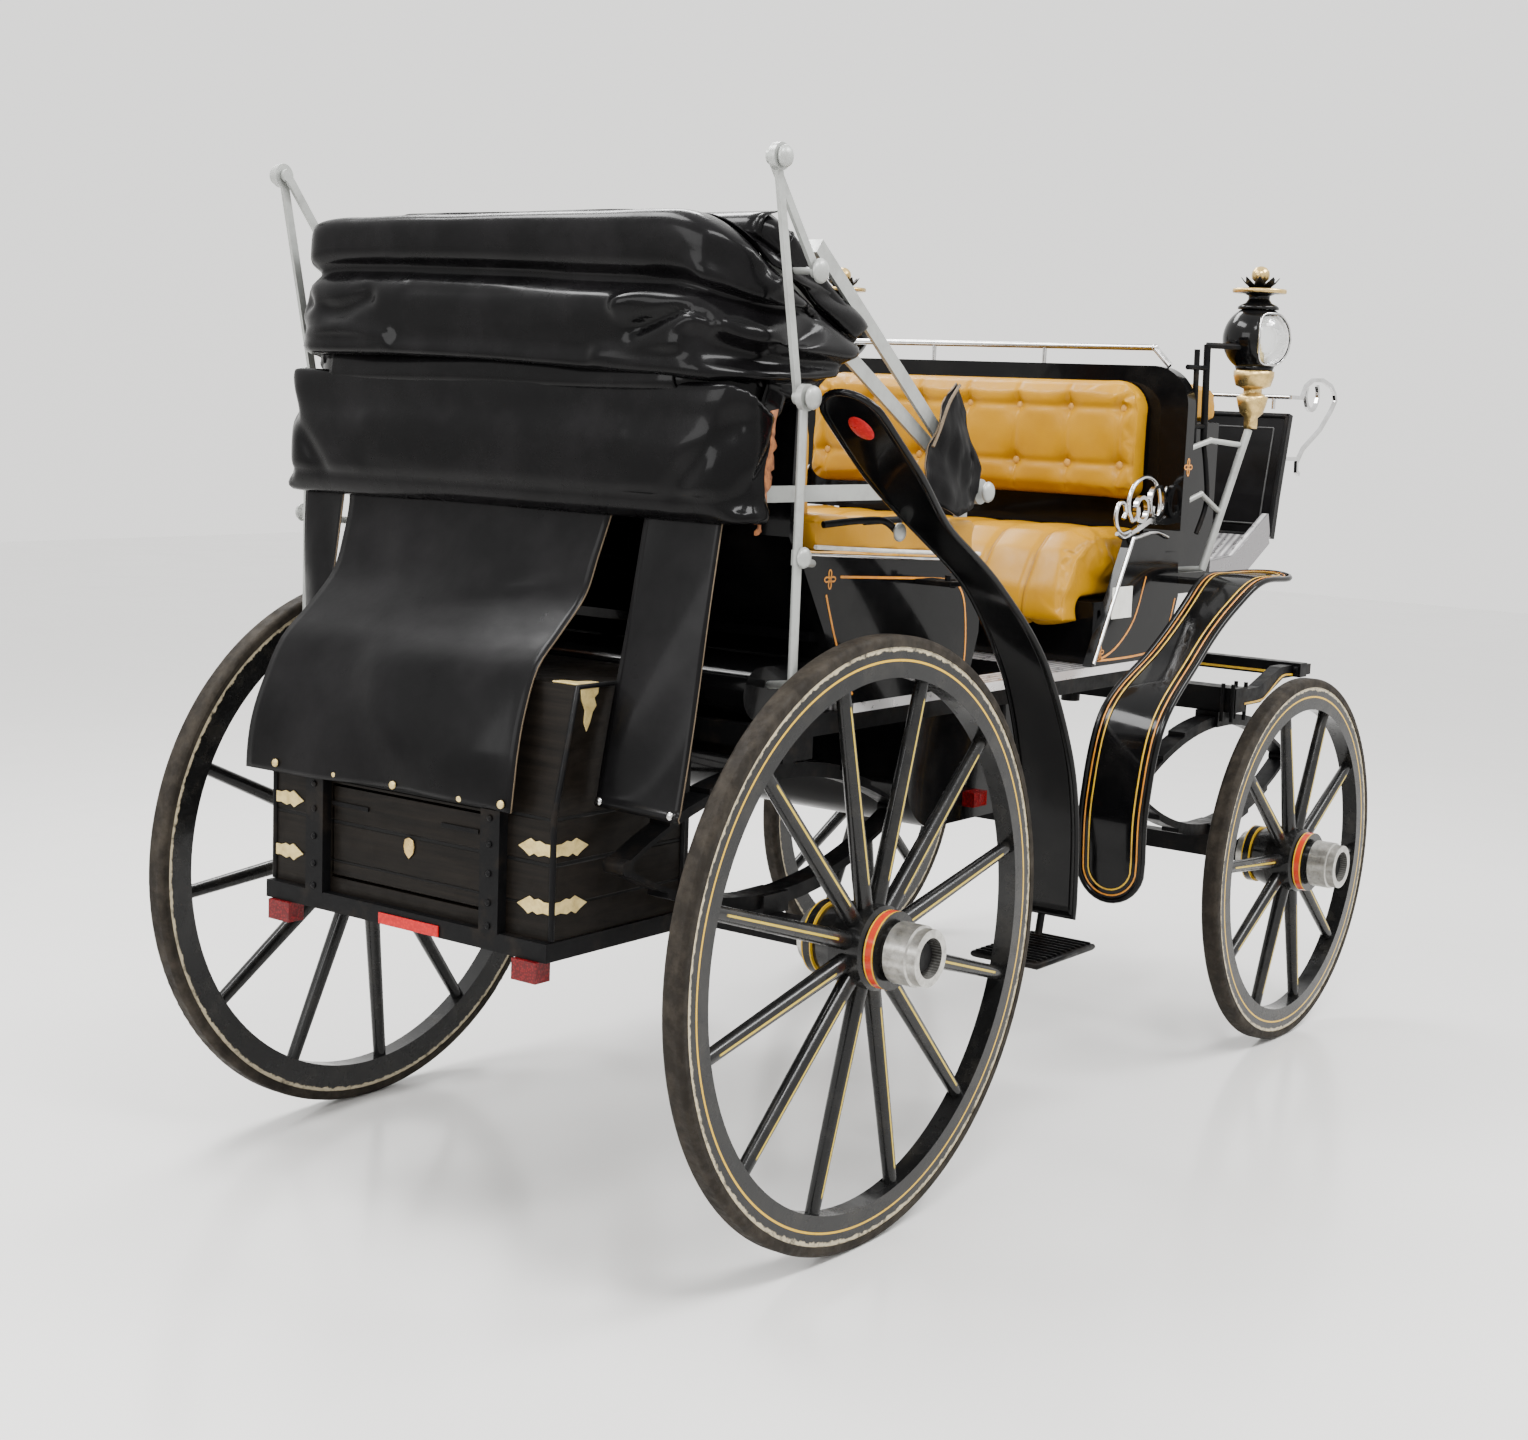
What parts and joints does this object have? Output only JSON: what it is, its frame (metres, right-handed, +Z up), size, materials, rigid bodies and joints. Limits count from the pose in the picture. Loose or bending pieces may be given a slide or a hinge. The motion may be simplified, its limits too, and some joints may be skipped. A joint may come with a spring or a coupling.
{
  "type": "horse drawn carriage",
  "caption": "Open four-wheeled passenger carriage with facing tufted seats, folding hood, driver's seat, fenders, lamps and a rear travelling trunk.",
  "frame": {"origin": "on the floor under the middle of the bounding box", "axes": "+X forward, towards the driver's end; +Y left; +Z up"},
  "size_m": [2.9707, 1.53, 1.899],
  "materials": {
    "black_lacquer": "gloss",
    "black_iron": "satin",
    "silver_floor": "satin",
    "tan_leather": "satin",
    "hood_leather": "gloss",
    "bright_steel": "polished",
    "lamp_brass": "polished",
    "lamp_glass": "polished",
    "trunk_wood": "satin",
    "red_lens": "gloss",
    "grey_steel": "satin",
    "tyre_rubber": "matte",
    "wheel_wood": "gloss"
  },
  "bodies": {
    "carriage_body": {"chassis_frame": "black_iron", "body_floor": "silver_floor", "foot_well": "black_lacquer", "rear_side_panels": "black_lacquer", "rear_seat_shell": "black_lacquer", "front_side_panels": "black_lacquer", "front_seat_box": "black_lacquer", "front_seat_frame": "black_lacquer", "rear_seat_cushion": "tan_leather", "rear_seat_back": "tan_leather", "arm_pads": "tan_leather", "front_seat_cushion": "tan_leather", "front_seat_back": "tan_leather", "driver_seat": "tan_leather", "footboard": "silver_floor", "dash_board": "black_lacquer", "chrome_rails": "bright_steel", "front_fenders": "black_lacquer", "rear_fenders": "black_lacquer", "step_plates": "black_iron", "lamps": "lamp_brass", "lamp_glass": "lamp_glass", "lamp_stays": "grey_steel", "trunk_box": "trunk_wood", "trunk_rack": "black_iron", "reflectors": "red_lens", "rear_curtain": "hood_leather", "hood_lower_fold": "hood_leather", "hood_fixed_irons": "grey_steel", "pivot_covers": "hood_leather", "rear_axle": "black_iron", "rear_springs": "black_iron"},
    "trunk_door": {"trunk_door": "trunk_wood"},
    "fore_carriage": {"splinter_frame": "black_iron", "front_springs": "black_iron", "front_axle": "black_iron"},
    "rear_right_wheel": {"rear_right_wheel": "wheel_wood", "rear_right_tyre": "tyre_rubber"},
    "rear_left_wheel": {"rear_left_wheel": "wheel_wood", "rear_left_tyre": "tyre_rubber"},
    "front_right_wheel": {"front_right_wheel": "wheel_wood", "front_right_tyre": "tyre_rubber"},
    "front_left_wheel": {"front_left_wheel": "wheel_wood", "front_left_tyre": "tyre_rubber"},
    "hood_main_bow": {"hood_main_bow": "grey_steel", "hood_middle_fold": "hood_leather"},
    "hood_front_bow": {"hood_front_bow": "grey_steel", "hood_top_fold": "hood_leather"},
    "landau_lower_irons": {"landau_lower_irons": "grey_steel"},
    "landau_upper_irons": {"landau_upper_irons": "grey_steel"}
  },
  "joints": [
    {"name": "trunk_door_hinge", "type": "hinge", "parent": "carriage_body", "child": "trunk_door", "pos_m": [-1.436, 0, 0.625], "axis": [0, -1, 0], "range_deg": [0, 90]},
    {"name": "steering", "type": "hinge", "parent": "carriage_body", "child": "fore_carriage", "pos_m": [0.905, 0, 0.846], "axis": [0, 0, 1], "range_deg": [-35, 35]},
    {"name": "rear_right_wheel_spin", "type": "hinge", "parent": "carriage_body", "child": "rear_right_wheel", "pos_m": [-0.935, -0.633, 0.55], "axis": [0, 1, 0], "continuous": true},
    {"name": "rear_left_wheel_spin", "type": "hinge", "parent": "carriage_body", "child": "rear_left_wheel", "pos_m": [-0.935, 0.633, 0.55], "axis": [0, 1, 0], "continuous": true},
    {"name": "front_right_wheel_spin", "type": "hinge", "parent": "fore_carriage", "child": "front_right_wheel", "pos_m": [0.905, -0.625, 0.44], "axis": [0, 1, 0], "continuous": true},
    {"name": "front_left_wheel_spin", "type": "hinge", "parent": "fore_carriage", "child": "front_left_wheel", "pos_m": [0.905, 0.625, 0.44], "axis": [0, 1, 0], "continuous": true},
    {"name": "hood_fold", "type": "hinge", "parent": "carriage_body", "child": "hood_main_bow", "pos_m": [-0.455, 0, 1.335], "axis": [0, 1, 0], "range_deg": [0, 30]},
    {"name": "hood_front_fold", "type": "hinge", "parent": "hood_main_bow", "child": "hood_front_bow", "pos_m": [-0.455, 0, 1.335], "axis": [0, 1, 0], "range_deg": [0, 55.1]},
    {"name": "landau_lower_pivot", "type": "hinge", "parent": "carriage_body", "child": "landau_lower_irons", "pos_m": [-1.143, 0, 1.5], "axis": [0, 1, 0], "range_deg": [0, 33.8]},
    {"name": "landau_upper_pivot", "type": "hinge", "parent": "hood_main_bow", "child": "landau_upper_irons", "pos_m": [-1.09, 0, 1.707], "axis": [0, 1, 0], "range_deg": [-114.7, 0]}
  ],
  "couplings": [
    {"joint": "hood_front_fold", "follows": "hood_fold", "ratio": 1.8333},
    {"joint": "landau_lower_pivot", "follows": "hood_fold", "ratio": 1.1221},
    {"joint": "landau_upper_pivot", "follows": "hood_fold", "ratio": -3.8213}
  ]
}
